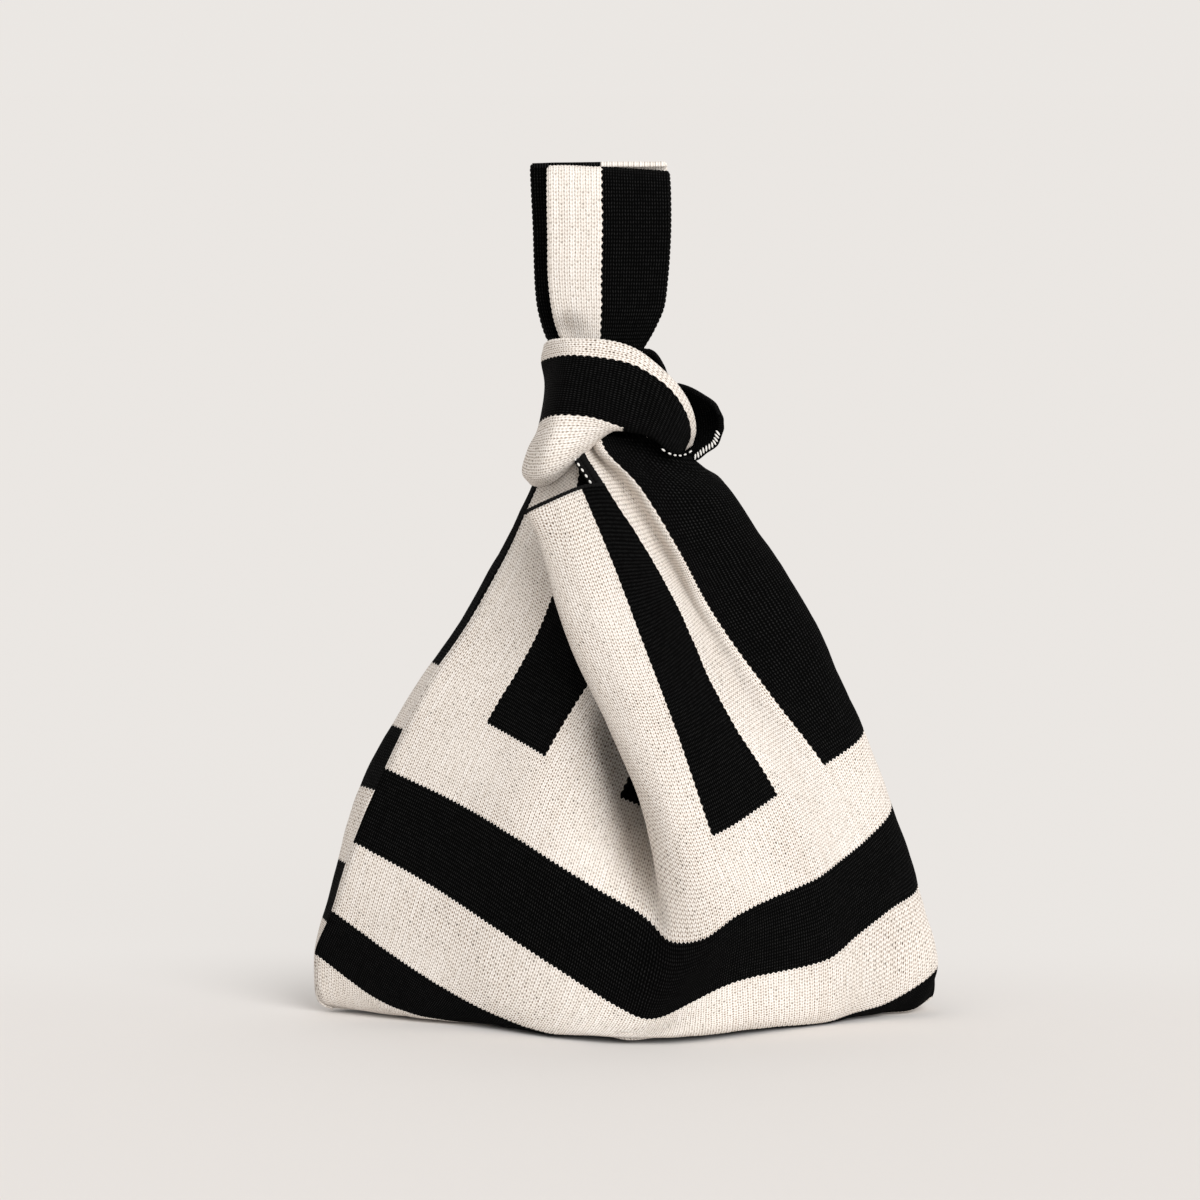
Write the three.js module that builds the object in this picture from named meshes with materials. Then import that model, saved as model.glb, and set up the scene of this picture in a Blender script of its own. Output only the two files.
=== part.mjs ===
// A knitted knot bag. Two panels are seamed into a pouch. The long strap stands up out of the mouth as
// a wrist loop, and the short strap wraps round it as the knot.
// Millimetres, +Z up, +X to the right, -Y to the front. The origin is on the floor under the pouch.
import * as THREE from "three";

// Cloth and thread
const CLOTH = 2.6; // thickness of the double knit
const THREAD = 1.0; // radius of an overlocked edge
const SEAM = 1.9; // radius of a side seam's ridge
const GAP = 0.4; // clearance between pieces that touch

// Pouch
const BASE_WIDTH = 256; // widest, just above the floor
const BASE_DEPTH = 118;
const FOOT = 9; // radius of the turn from the underside into the wall
const MOUTH_WIDTH = 80;
const MOUTH_DEPTH = 56;
const MOUTH_HEIGHT = 218; // floor to the mouth's edge
const TAPER = 1.65; // power of the drawing in from the base to the mouth
// A level section swells from the side seams out to the ridge as (1 - share^SWELL)^ROUND, where share is 0 at
// the ridge and 1 at a seam. At the base it is a kite, then it fills out, and at the mouth it is an oval.
const BASE_SWELL = 1.08;
const WALL_SWELL = 2;
const MOUTH_ROUND = 0.525;
const FILL_HEIGHT = 60; // where the kite has filled out
const DRAW_HEIGHT = 40; // the oval forms over this height below the mouth

// Drape fold down each panel: a roll of cloth along the ridge, with the cloth to its left tucked behind it
const RIDGE_FOOT_X = 10;
const RIDGE_SWELL_X = 25; // where the ridge leans out furthest, at the height where the kite has filled out
const RIDGE_TOP_X = -18;
const ROLL_HEIGHT = 6;
const ROLL_WIDTH = 24;
const TUCK_DEPTH = 17;
const TUCK_HEIGHT = 130; // where the cloth is tucked furthest
const TUCK_EDGE = 14; // from the ridge to the roll's left edge
const TUCK_STEP = 9; // width of the step from the roll down to the tucked cloth

// Shares of the mouth, in degrees round it from the right seam: where the short strap's root, the free
// edging and the long strap's stem each start and end. At the front the drape has pulled the short strap's
// root across, so the free part is short and lies to the left.
const FRONT_MOUTH = { root: [8, 98], edging: [103, 145], stem: [150, 173] };
const BACK_MOUTH = { root: [8, 55], edging: [60, 120], stem: [125, 172] };

// Long strap, from the mouth up through the knot to the wrist loop
const STRAP_WIDTH = 52;
const NECK_WIDTH = 40; // where the knot gathers it
const NECK_SPREAD = 10; // between the middles of its two legs
const LOOP_SPREAD = 17;
const STRAP_X = -9; // middle of the strap
const LEG_SHIFT = 5; // the back leg stands this far to the left of the front one
const STEM_RISE = 6; // the stem follows the pouch's slope this far before it turns to the neck
const NECK_LENGTH = 12; // straight stretch of the stem below the knot's top
const GATHER_HEIGHT = 25;
const LOOP_HEIGHT = 45;
const LOOP_SEAM_SHARE = 0.97; // height of the top seam's middle, as a share of the loop's
const LOOP_CLOSE = 4; // how much closer the loop's halves are at its foot than at its middle

// Short strap, wrapped round the long one
const KNOT_X = -3;
const KNOT_HALF_WIDTH = 32;
const KNOT_HALF_DEPTH = 27;
const KNOT_LIFT = 2; // from the mouth's edge to the lowest point of the wrap
const KNOT_HEIGHT = 60;
const BAND_BULGE = 2.5;
const ROOT_RISE = 3; // the root follows the pouch's slope this far before it turns to the knot
// Stations round the knot: turn in degrees (0 right, 90 back, 180 left, 270 front), the heights of the
// strap's two edges as shares of the knot's height, and how far its lower and upper edge stand out.
const FRONT_BAND = [
  { turn: 164, foot: 0.1, top: 0.9, footOut: 6, topOut: 1 },
  { turn: 190, foot: 0.0, top: 0.95, footOut: 9, topOut: 1 },
  { turn: 225, foot: 0.02, top: 0.99, footOut: 8, topOut: 1 },
  { turn: 270, foot: 0.36, top: 1.0, footOut: 3, topOut: 0 },
  { turn: 315, foot: 0.3, top: 0.78, footOut: 2, topOut: 0 },
  { turn: 350, foot: 0.22, top: 0.42, footOut: -1, topOut: -1 },
];
const BACK_BAND = [
  { turn: 157, foot: 0.12, top: 0.88, footOut: 5, topOut: 1 },
  { turn: 90, foot: 0.14, top: 0.92, footOut: 2, topOut: 1 },
  { turn: 40, foot: 0.16, top: 0.86, footOut: 4, topOut: 2 },
  { turn: 5, foot: 0.16, top: 0.58, footOut: 11, topOut: 11 },
  { turn: -25, foot: 0.14, top: 0.48, footOut: 12, topOut: 12 },
];
// Heights that follow from the sizes above: the wrap's lowest point, where the strap leaves the knot, and
// the loop's foot.
const KNOT_FOOT = MOUTH_HEIGHT + KNOT_LIFT;
const NECK_TOP = KNOT_FOOT + KNOT_HEIGHT + GAP;
const LOOP_FOOT = NECK_TOP + GATHER_HEIGHT;
const FRONT_ROOT = [262, 342]; // turns between which each root of the short strap meets the knot
const BACK_ROOT = [70, 15];

// Mesh counts
const PANEL_COLUMNS = 36;
const COLUMN_CROWD = 1.3; // how much closer together the columns are at the ridge
const WALL_ROWS = 13;
const STRAP_COLUMNS = 8;
const STRAP_ROWS = 6;
const BAND_COLUMNS = 20;
const TUBE_SIDES = 8;

const CREAM = new THREE.MeshStandardMaterial({ color: 0xe6ddd0, roughness: 0.95, metalness: 0 });
const BLACK = new THREE.MeshStandardMaterial({ color: 0x101010, roughness: 0.95, metalness: 0 });

const FRONT = -1;
const BACK = 1;
const mouthOf = (side) => (side === FRONT ? FRONT_MOUTH : BACK_MOUTH);
const radians = THREE.MathUtils.degToRad;
const mix = THREE.MathUtils.lerp;
const smooth = (x) => THREE.MathUtils.smoothstep(x, 0, 1);
const point = (x, y, z) => new THREE.Vector3(x, y, z);

// Evenly spaced shares from 0 to 1, both ends included.
function shares(steps) {
  return Array.from({ length: steps + 1 }, (_, i) => i / steps);
}

// Closed sheet of cloth whose middle surface runs through a grid of points.
function sheet(grid, thickness = CLOTH) {
  const rows = grid.length;
  const columns = grid[0].length;
  const positions = [];
  for (const side of [0.5, -0.5]) {
    grid.forEach((row, i) =>
      row.forEach((p, j) => {
        const across = row[Math.min(j + 1, columns - 1)].clone().sub(row[Math.max(j - 1, 0)]);
        const up = grid[Math.min(i + 1, rows - 1)][j].clone().sub(grid[Math.max(i - 1, 0)][j]);
        const normal = across.cross(up).normalize();
        positions.push(...p.clone().addScaledVector(normal, side * thickness).toArray());
      }),
    );
  }
  const inner = rows * columns;
  const index = [];
  const quad = (a, b, c, d) => index.push(a, b, c, a, c, d);
  for (let i = 0; i + 1 < rows; i++) {
    for (let j = 0; j + 1 < columns; j++) {
      const a = i * columns + j;
      const b = a + 1;
      const c = b + columns;
      const d = a + columns;
      quad(a, b, c, d);
      quad(inner + d, inner + c, inner + b, inner + a);
    }
  }
  const rim = [];
  for (let j = 0; j + 1 < columns; j++) rim.push(j);
  for (let i = 0; i + 1 < rows; i++) rim.push(i * columns + columns - 1);
  for (let j = columns - 1; j > 0; j--) rim.push((rows - 1) * columns + j);
  for (let i = rows - 1; i > 0; i--) rim.push(i * columns);
  rim.forEach((a, k) => {
    const b = rim[(k + 1) % rim.length];
    quad(b, a, inner + a, inner + b);
  });
  return facingOut(positions, index);
}

// Geometry from points and triangles, turned so that its faces point outwards.
function facingOut(positions, index) {
  const at = (i) => point(positions[3 * i], positions[3 * i + 1], positions[3 * i + 2]);
  let volume = 0;
  for (let i = 0; i < index.length; i += 3) {
    volume += at(index[i]).dot(at(index[i + 1]).cross(at(index[i + 2])));
  }
  if (volume < 0) index.reverse();
  const geometry = new THREE.BufferGeometry();
  geometry.setAttribute("position", new THREE.Float32BufferAttribute(positions, 3));
  geometry.setIndex(index);
  geometry.computeVertexNormals();
  return geometry;
}

// Round ridge of thread along a line of points.
function tube(points, radius, steps) {
  const section = new THREE.Shape(
    Array.from({ length: TUBE_SIDES }, (_, i) => {
      const turn = (2 * Math.PI * i) / TUBE_SIDES;
      return new THREE.Vector2(radius * Math.cos(turn), radius * Math.sin(turn));
    }),
  );
  const extrudePath = new THREE.CatmullRomCurve3(points);
  return new THREE.ExtrudeGeometry(section, { steps, extrudePath, bevelEnabled: false });
}

// Grid of points lofted through lines of equal length, as smooth curves from the first line to the last.
function loft(lines, steps) {
  const curves = lines[0].map((_, j) => new THREE.CatmullRomCurve3(lines.map((line) => line[j])));
  return shares(steps).map((t) => curves.map((curve) => curve.getPoint(t)));
}

// Level sections of the pouch from the bottom seam, along the underside and round the foot, up to the mouth.
function pouchSections() {
  const middle = CLOTH / 2;
  const width = BASE_WIDTH / 2 - middle;
  const depth = BASE_DEPTH / 2 - middle;
  const under = [0, 0.5, 1].map((t) => ({
    z: middle,
    width: width - FOOT * (1 - 0.35 * t),
    depth: (depth - FOOT) * t,
  }));
  const foot = [30, 60].map((turn) => ({
    z: middle + (FOOT - middle) * (1 - Math.cos(radians(turn))),
    width: width - 0.65 * FOOT * (1 - Math.sin(radians(turn))),
    depth: depth - FOOT * (1 - Math.sin(radians(turn))),
  }));
  const wall = shares(WALL_ROWS).map((t) => {
    const drawn = 1 - t ** TAPER;
    return {
      z: mix(FOOT, MOUTH_HEIGHT, t),
      width: mix(MOUTH_WIDTH / 2, width, drawn),
      depth: mix(MOUTH_DEPTH / 2, depth, drawn),
    };
  });
  return [...under, ...foot, ...wall].map((section) => ({ ...section, ...draping(section.z) }));
}

// Shape of the level section at a height: its swell, and its ridge, roll and tuck, which fade into the mouth.
function draping(z) {
  const filled = smooth(z / FILL_HEIGHT);
  const drawn = smooth((z - MOUTH_HEIGHT + DRAW_HEIGHT) / DRAW_HEIGHT);
  const leaning = THREE.MathUtils.clamp((z - FILL_HEIGHT) / (MOUTH_HEIGHT - FILL_HEIGHT), 0, 1);
  const ridge = mix(mix(RIDGE_FOOT_X, RIDGE_SWELL_X, filled), RIDGE_TOP_X, leaning);
  return {
    swell: mix(BASE_SWELL, WALL_SWELL, filled),
    round: mix(1, MOUTH_ROUND, drawn),
    ridge: ridge * (1 - drawn),
    roll: ROLL_HEIGHT * filled * (1 - drawn),
    tuck: TUCK_DEPTH * smooth(z / TUCK_HEIGHT) * (1 - drawn),
    crowd: mix(COLUMN_CROWD, 1, drawn),
  };
}

// Point on a panel's middle surface, at a turn from 0 at the right seam to 180 at the left one.
function pouchPoint(side, section, turn) {
  const across = Math.cos(radians(turn));
  const share = Math.abs(across) ** section.crowd;
  const out = Math.sign(across);
  const x = section.ridge + out * share * (section.width - out * section.ridge);
  const fromRidge = x - section.ridge;
  const tucked = 1 - smooth((fromRidge + TUCK_EDGE) / TUCK_STEP);
  const depth = Math.max(section.depth - section.tuck * tucked, 0);
  const roll = section.roll * (1 - tucked) * Math.exp(-((fromRidge / ROLL_WIDTH) ** 2));
  const swollen = (1 - share ** section.swell) ** section.round;
  return point(x, side * (CLOTH / 2 + GAP + depth * swollen + roll), section.z);
}

function panelGrid(side) {
  return pouchSections().map((section) =>
    shares(PANEL_COLUMNS).map((t) => pouchPoint(side, section, 180 * t)),
  );
}

// Points a little above the mouth's edge, carried on along the slope of the wall below it.
function aboveMouth(side, turns, lift) {
  const sections = pouchSections();
  const [below, mouth] = sections.slice(-2);
  return turns.map((turn) => {
    const edge = pouchPoint(side, mouth, turn);
    const slope = edge.clone().sub(pouchPoint(side, below, turn)).normalize();
    return edge.addScaledVector(slope, lift);
  });
}

function turnsBetween(from, to, steps) {
  return shares(steps).map((t) => mix(from, to, t));
}

// Side seam, from the floor to the mouth, on the edges of both panels.
function sideSeam(turn) {
  const out = turn === 0 ? 1 : -1;
  const line = pouchSections()
    .slice(4)
    .map((section) => point(out * (section.width + SEAM + GAP), 0, section.z));
  return tube(line, SEAM, 2 * line.length);
}

// Bottom seam, in the groove between the two panels' lower edges, just clear of the floor.
function bottomSeam() {
  const reach = BASE_WIDTH / 2 - 2 * FOOT;
  const radius = 0.96 * (CLOTH / 2);
  return tube([-1, -0.5, 0, 0.5, 1].map((t) => point(t * reach, 0, CLOTH / 2)), radius, 12);
}

// Edging along the free part of the mouth.
function mouthEdging(side) {
  const turns = turnsBetween(...mouthOf(side).edging, 10);
  return tube(aboveMouth(side, turns, THREAD + GAP), THREAD, 20);
}

// Line across one leg of the long strap.
function strapLine(side, width, spread, z) {
  const middle = STRAP_X - (side === BACK ? LEG_SHIFT / 2 : -LEG_SHIFT / 2);
  return shares(STRAP_COLUMNS).map((t) => point(middle + width * (t - 0.5), (side * spread) / 2, z));
}

// Leg of the long strap inside the knot, from the left end of the mouth to the neck.
function strapStem(side) {
  const turns = turnsBetween(...mouthOf(side).stem, STRAP_COLUMNS).reverse();
  const foot = aboveMouth(side, turns, GAP);
  const start = aboveMouth(side, turns, STEM_RISE);
  const neck = strapLine(side, NECK_WIDTH, NECK_SPREAD, NECK_TOP);
  const below = strapLine(side, NECK_WIDTH, NECK_SPREAD, NECK_TOP - NECK_LENGTH);
  return sheet(loft([foot, start, below, neck], STRAP_ROWS));
}

// Gathered stretch of the long strap between the knot and the loop.
function strapGather(side) {
  const neck = strapLine(side, NECK_WIDTH, NECK_SPREAD, NECK_TOP + GAP);
  const spread = strapLine(side, STRAP_WIDTH, NECK_SPREAD, mix(NECK_TOP, LOOP_FOOT, 0.6));
  const loop = strapLine(side, STRAP_WIDTH, LOOP_SPREAD - LOOP_CLOSE, LOOP_FOOT - GAP);
  return sheet(loft([neck, spread, loop], 4));
}

// Half of the wrist loop, from the gathers over to the top seam.
function loopHalf(side) {
  const stations = [
    [0, LOOP_SPREAD - LOOP_CLOSE],
    [0.35, LOOP_SPREAD],
    [0.75, LOOP_SPREAD],
    [0.94, LOOP_SPREAD * 0.6],
    [LOOP_SEAM_SHARE, 2 * (THREAD + GAP)],
  ];
  const lines = stations.map(([t, spread]) =>
    strapLine(side, STRAP_WIDTH, spread, LOOP_FOOT + t * LOOP_HEIGHT),
  );
  return sheet(loft(lines, 2 * STRAP_ROWS));
}

// Seam that joins the two halves of the loop.
function loopSeam() {
  const reach = (STRAP_WIDTH - LEG_SHIFT) / 2 - GAP;
  const z = LOOP_FOOT + LOOP_SEAM_SHARE * LOOP_HEIGHT;
  return tube([-1, 0, 1].map((t) => point(STRAP_X + t * reach, 0, z)), THREAD, 8);
}

// Station of a band between the listed ones.
function bandStation(stations, share) {
  const keys = Object.keys(stations[0]);
  const at = share * (stations.length - 1);
  const i = Math.min(Math.floor(at), stations.length - 2);
  const four = [i - 1, i, i + 1, i + 2].map(
    (k) => stations[THREE.MathUtils.clamp(k, 0, stations.length - 1)],
  );
  const t = at - i;
  const curve = (a, b, c, d) =>
    b + 0.5 * t * (c - a + t * (2 * a - 5 * b + 4 * c - d + t * (3 * (b - c) + d - a)));
  return Object.fromEntries(keys.map((key) => [key, curve(...four.map((s) => s[key]))]));
}

// Point on a band, at a share of its height from its lower edge.
function bandPoint(station, up, drop = 0) {
  const angle = radians(station.turn);
  const bulge = BAND_BULGE * Math.sin(Math.PI * up);
  const out = mix(station.footOut, station.topOut, up) + bulge;
  return point(
    KNOT_X + (KNOT_HALF_WIDTH + out) * Math.cos(angle),
    (KNOT_HALF_DEPTH + out) * Math.sin(angle),
    KNOT_FOOT + KNOT_HEIGHT * mix(station.foot, station.top, up) - drop,
  );
}

function band(stations) {
  const grid = shares(STRAP_ROWS).map((up) =>
    shares(BAND_COLUMNS).map((t) => bandPoint(bandStation(stations, t), up)),
  );
  return sheet(grid);
}

// Stations of a band whose turns lie between two turns.
function bandStretch(stations, [from, to], steps) {
  const fine = shares(200).map((t) => bandStation(stations, t));
  const near = (turn) =>
    fine.reduce((best, s) => (Math.abs(s.turn - turn) < Math.abs(best.turn - turn) ? s : best));
  return turnsBetween(from, to, steps).map(near);
}

// Seam that joins the two halves of the short strap at the back left of the knot.
function bandSeam() {
  const [front, back] = [FRONT_BAND[0], BACK_BAND[0]];
  const line = shares(4).map((t) => {
    const up = mix(0.08, 0.92, t);
    return bandPoint(front, up).lerp(bandPoint(back, up), 0.5);
  });
  return tube(line, THREAD, 10);
}

// Overlocked thread under a band's lower edge.
function bandOverlock(stations, turns) {
  const drop = CLOTH / 4 + THREAD + GAP;
  const line = bandStretch(stations, turns, 10).map((s) => bandPoint(s, 0, drop));
  return tube(line, THREAD, 20);
}

// Root of the short strap, from the right end of the mouth up to the knot.
function strapRoot(side, stations, turns) {
  const mouthTurns = turnsBetween(...mouthOf(side).root, STRAP_COLUMNS).reverse();
  const foot = aboveMouth(side, mouthTurns, GAP);
  const start = aboveMouth(side, mouthTurns, ROOT_RISE);
  const drop = CLOTH / 2 + 2 * (THREAD + GAP);
  const knot = bandStretch(stations, turns, STRAP_COLUMNS).map((s) => bandPoint(s, 0, drop));
  return sheet(loft([foot, start, knot], 3));
}

function piece(name, geometry, material) {
  const mesh = new THREE.Mesh(geometry, material);
  mesh.name = name;
  return mesh;
}

const pouch = new THREE.Group();
pouch.add(
  piece("front_panel", sheet(panelGrid(FRONT)), CREAM),
  piece("back_panel", sheet(panelGrid(BACK)), CREAM),
  piece("right_side_seam", sideSeam(0), BLACK),
  piece("left_side_seam", sideSeam(180), BLACK),
  piece("bottom_seam", bottomSeam(), CREAM),
  piece("front_mouth_edging", mouthEdging(FRONT), BLACK),
  piece("back_mouth_edging", mouthEdging(BACK), BLACK),
);

const longStrap = new THREE.Group();
longStrap.add(
  piece("long_strap_front_stem", strapStem(FRONT), CREAM),
  piece("long_strap_back_stem", strapStem(BACK), BLACK),
  piece("long_strap_front_gather", strapGather(FRONT), CREAM),
  piece("long_strap_back_gather", strapGather(BACK), BLACK),
  piece("wrist_loop_front", loopHalf(FRONT), CREAM),
  piece("wrist_loop_back", loopHalf(BACK), BLACK),
  piece("wrist_loop_seam", loopSeam(), BLACK),
);

const shortStrap = new THREE.Group();
shortStrap.add(
  piece("short_strap_front_root", strapRoot(FRONT, FRONT_BAND, FRONT_ROOT), BLACK),
  piece("short_strap_back_root", strapRoot(BACK, BACK_BAND, BACK_ROOT), BLACK),
  piece("knot_front_band", band(FRONT_BAND), BLACK),
  piece("knot_back_band", band(BACK_BAND), BLACK),
  piece("knot_band_seam", bandSeam(), BLACK),
  piece("knot_front_overlock", bandOverlock(FRONT_BAND, FRONT_ROOT), CREAM),
  piece("knot_back_overlock", bandOverlock(BACK_BAND, [80, -20]), CREAM),
);

const bag = new THREE.Group();
bag.add(pouch, longStrap, shortStrap);
export default bag;
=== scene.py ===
"""A knot bag in cream and black knit: a gathered pouch, a long strap that stands up as a wrist loop,
and a short strap that wraps round it as the knot."""

import math

import bpy
import numpy as np
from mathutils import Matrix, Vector, noise


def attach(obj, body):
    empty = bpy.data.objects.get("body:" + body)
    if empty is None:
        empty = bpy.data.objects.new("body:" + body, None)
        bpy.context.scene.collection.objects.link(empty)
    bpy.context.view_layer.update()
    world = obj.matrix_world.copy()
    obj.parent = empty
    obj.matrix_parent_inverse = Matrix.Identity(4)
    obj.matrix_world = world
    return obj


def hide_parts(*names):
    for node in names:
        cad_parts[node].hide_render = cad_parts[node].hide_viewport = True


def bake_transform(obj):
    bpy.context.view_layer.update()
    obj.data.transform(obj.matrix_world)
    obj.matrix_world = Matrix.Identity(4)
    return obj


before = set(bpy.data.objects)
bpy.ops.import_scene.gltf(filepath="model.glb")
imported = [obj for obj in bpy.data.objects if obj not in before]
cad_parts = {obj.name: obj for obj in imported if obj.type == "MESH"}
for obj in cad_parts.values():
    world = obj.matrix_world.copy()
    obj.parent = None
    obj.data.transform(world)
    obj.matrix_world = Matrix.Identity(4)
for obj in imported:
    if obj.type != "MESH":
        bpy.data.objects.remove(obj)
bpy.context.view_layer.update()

# Sizes in millimetres, turned to metres where a mesh is made
MM = 0.001
CLOTH = 2.2
FLOOR_CLEAR = 0.3
DRAPE_CLEAR = 0.6
GUIDE_CLEAR = 1.2
STRIPE = 33.5
PANEL_WIDTH = 8 * STRIPE
WALE = 1.85
COURSE = 1.55
STRAP_WALE = 2.2
STRAP_WIDTH = 49.0
STRAP_CREAM = 22.0
BACK_STRAP_WIDTH = 54.0
BACK_STRAP_CREAM = 25.5
KNOT_CREAM_EDGE = 6.6
KNOT_BLACK_TO = 34.0
LOBE_END = 74.0
TAIL_LENGTH = 86.0

# Along the panel: where the two level black bands begin and end, and where the stripes begin
BANDS = (STRIPE, 2 * STRIPE, 3 * STRIPE, 136.5, 175.5)

# Stripes are counted from some whole pairs further on, so that a count is never below zero
WHOLE_PAIRS = 10.0

# The front cloth: rows of guide points up the panel, each point as (across, x, y, z)
FRONT_ROWS = [
    (0.0, [(0, -121, 0, 1.8), (33.5, -91, -8, 1.2), (67, -59, -1, 1.2),
           (100.5, -29, -1, 1.2), (121, -10, -1, 1.2), (136, 3, -1, 1.2),
           (151, 16, -1, 1.2), (167.5, 30, -1, 1.2), (201, 60, -1, 1.2),
           (234.5, 88, 3, 2.4), (258, 103, 4, 2.8), (268, 110, 3, 2.8)]),
    (14.0, [(0, -126.8, -2, 5.8), (33.5, -98.5, -12, 1.2), (67, -66, -16, 1.2),
            (100.5, -32, -10, 1.2), (121, -11, -13, 1.2), (136, 3.5, -14, 1.2),
            (151, 18, -13, 1.2), (167.5, 34, -11, 1.2), (201, 67, -3, 1.6),
            (234.5, 95, 4, 2.8), (258, 110, 5, 3.4), (268, 118, 5, 3.2)]),
    (33.5, [(0, -128.5, -4, 24.8), (33.5, -101.9, -15, 7.6), (67, -74.1, -24, 1.2),
            (100.5, -36, -27, 1.2), (121, -12, -36, 1.2), (136, 4, -36, 1.2),
            (151, 20, -32, 1.2), (167.5, 38, -26, 1.2), (201, 74, -14, 1.2),
            (234.5, 101, -7, 1.2), (258, 119.5, -3, 1.4), (268, 127.8, 4, 5.8)]),
    (67.0, [(0, -121.2, -5, 43.8), (33.5, -93.7, -18, 26.4), (67, -66.7, -29, 11.8),
            (100.5, -34.4, -48, 2.2), (121, -12, -58, 2.8), (136, 6, -61, 2.8),
            (151, 24, -58.5, 2.6), (167.5, 44, -48, 2.4), (201, 81, -26, 1.5),
            (234.5, 107.4, -13, 6.2), (258, 128.8, -3, 19), (268, 126.5, 7, 24)]),
    (100.5, [(0, -112.2, -6, 72.2), (33.5, -83.1, -20, 58.6), (67, -55.9, -33, 43.3),
             (100.5, -23.7, -46, 24.5), (121, -3.9, -52, 13.1), (136, 12.5, -56, 9.2),
             (151, 26.5, -55, 15.6), (167.5, 44.1, -48, 22.5), (201, 82, -31, 28),
             (234.5, 107.7, -16, 45.3), (258, 120.8, -3, 52.5), (268, 118, 8, 58)]),
    (136.5, [(0, -98.6, -6, 103.4), (33.5, -70.3, -21, 92.3), (67, -45.2, -34, 79.7),
             (100.5, -14.4, -43, 61.6), (121, 5.7, -45, 50.1), (136, 19.7, -57, 40.7),
             (151, 32.1, -59, 43.1), (167.5, 45.8, -54, 51.9), (201, 76.6, -37, 62.6),
             (234.5, 97.3, -21, 74.9), (258, 110.4, -5, 87), (268, 107.5, 7, 92.5)]),
    (175.5, [(0, -82.5, -6, 135.8), (33.5, -56.3, -20, 124.2), (67, -32.2, -31, 112),
             (100.5, -1.6, -24, 92.6), (122, 18.7, -3, 82), (136, 6, -48, 92.4),
             (151, 19.1, -60, 83.9), (167.5, 33.6, -56, 83.6), (201, 61.3, -42, 98.3),
             (234.5, 80.1, -27, 107.7), (258, 97.5, -8, 118), (268, 94.5, 4, 123.5)]),
    (215.0, [(0, -59.8, -6, 171), (33.5, -37, -19, 157.3), (67, -12.8, -27, 143.7),
             (87, 5.8, -12, 132.7), (102, 20.4, 0, 121), (134, -10, -43, 130.5),
             (151, 5.6, -55, 121.9), (167.5, 20.8, -53, 122.4), (201, 40.6, -43, 131.8),
             (234.5, 56.3, -31, 139.8), (258, 81.5, -11, 154.5), (268, 78.5, 1, 160)]),
    (255.0, [(0, -42.3, -8, 205.3), (33.5, -25, -24, 191.5), (52, -6.3, -25, 181),
             (70, 9, -11, 171.9), (87, 21.2, -2, 163), (134.5, -24.8, -37, 165.4),
             (151, -8, -49, 156.1), (167.5, 8, -48, 156), (201, 24.5, -41, 166.7),
             (234.5, 33.5, -33, 172.2), (258, 65.5, -14, 182.5), (268, 62.5, -2, 188)]),
    (295.0, [(0, -31.2, -12, 234.1), (33.5, -18.5, -24, 227.1), (48, -2.3, -18, 215.1),
             (62, 9.9, -17, 203), (75, 18.8, -19, 194.9), (135, -34.8, -32, 198.8),
             (151, -21.2, -42, 191.1), (167.5, -6.8, -41, 194.6), (201, 9.7, -38, 194.6),
             (234.5, 20.6, -33, 196.5), (258, 50.5, -15, 204.5), (268, 47.5, -4, 209.5)]),
    (322.0, [(0, -31, -7, 248), (33.5, -16.4, -17, 247.4), (45, -2.3, -15, 235.3),
             (56, 9.1, -17, 219.2), (67, 13.9, -17, 215.1), (136, -39.6, -31, 211),
             (151, -29.6, -37, 217.5), (167.5, -18.4, -36, 222.2), (201, -8.6, -33.5, 223.3),
             (234.5, 4.5, -31, 222.5), (258, 40.8, -15, 218.8), (268, 38.5, -5, 222.5)]),
    (336.0, [(0, -27, -7, 257), (33.5, -12, -11, 257), (45, -2, -11, 252),
             (56, 5, -9, 246), (67, 9, -7, 240), (136, -40, -28, 220),
             (151, -32, -33, 226), (167.5, -23, -32, 231), (201, -16, -29, 233.2),
             (234.5, -8, -29, 235.2), (258, 33.5, -13, 224.6), (268, 30.5, -4, 227.6)]),
    (348.0, [(0, -22, -5, 266), (33.5, -9, -8, 266), (45, -2, -8, 266),
             (56, 2, -7, 266), (67, 5, -5, 266), (136, -40, -25, 228),
             (151, -33, -30, 233), (167.5, -25, -28, 238), (201, -18.4, -24, 240.9),
             (234.5, -11.2, -25, 242), (258, 18, -5, 239), (268, 15, 1, 241)]),
]

# Which guide columns bound the two straps, and which row is the mouth's edge
LONG_STRAP_COLUMN = 4
SHORT_STRAP_COLUMN = 8
MOUTH_ROW = 10

# How far the stripe between the roll and the short strap sinks in, by its place along the cloth
VALLEY_COLUMN = 9
VALLEY_AT = (175.5, 215, 255, 295, 322, 348)
VALLEY_DEPTH = (0, 3, 6, 9, 9, 7)

# How the back leaves the seams: it swells out past the left one, where its rows sit higher
SWELL_AT = (0, 33.5, 67, 100.5, 136.5, 175.5, 215, 322, 348)
SWELL_OUT = (0, 0, 2.6, 5, 6.8, 4, 2.4, 0.3, 0.3)
SWELL_BACK = (2, 8, 16, 18, 18, 16, 13, 5, 1)
SWELL_ACROSS = 12.0
SWELL_PULL = 6.0
RISE_AT = (0, 30, 136.5, 175.5, 215, 322)
ROWS_RISE = (0, 24, 24, 14, 6, 0)
RISE_REACH = 45.0

# How the back turns in beside the right seam, least of all at its lower corner
RIGHT_TURN = (-3.0, 9.0, -2.0)
LEAST_TURN = 0.1

# How far up a lower corner reaches, and how far its seam is drawn in there
CORNER_REACH = 30.0
CORNER_DRAW = 1.0

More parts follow.
